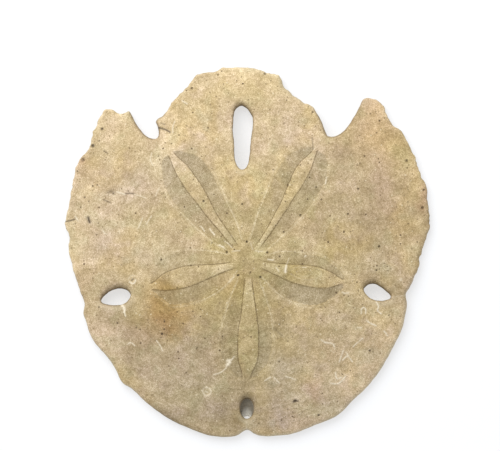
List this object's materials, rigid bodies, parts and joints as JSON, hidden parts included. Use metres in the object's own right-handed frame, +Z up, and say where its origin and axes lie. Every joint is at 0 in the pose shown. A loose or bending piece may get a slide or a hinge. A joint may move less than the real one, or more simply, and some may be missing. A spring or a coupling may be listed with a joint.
{
  "type": "fossil keyhole sand dollar",
  "caption": "Flat fossil sea urchin test of the keyhole sand dollar kind, with a petalled dome, slots through it and open notches in its scalloped margin.",
  "frame": {"origin": "middle of the plan outline, on the resting face under the test", "axes": "+Z up through the thin way of the test; +Y towards the rear lobe with the long slot; +X to the right seen from above with the rear away"},
  "size_m": [0.1218, 0.1232, 0.0145],
  "materials": {
    "fossil_shell": "matte"
  },
  "bodies": {
    "root": {"sand_dollar": "fossil_shell"}
  },
  "joints": []
}
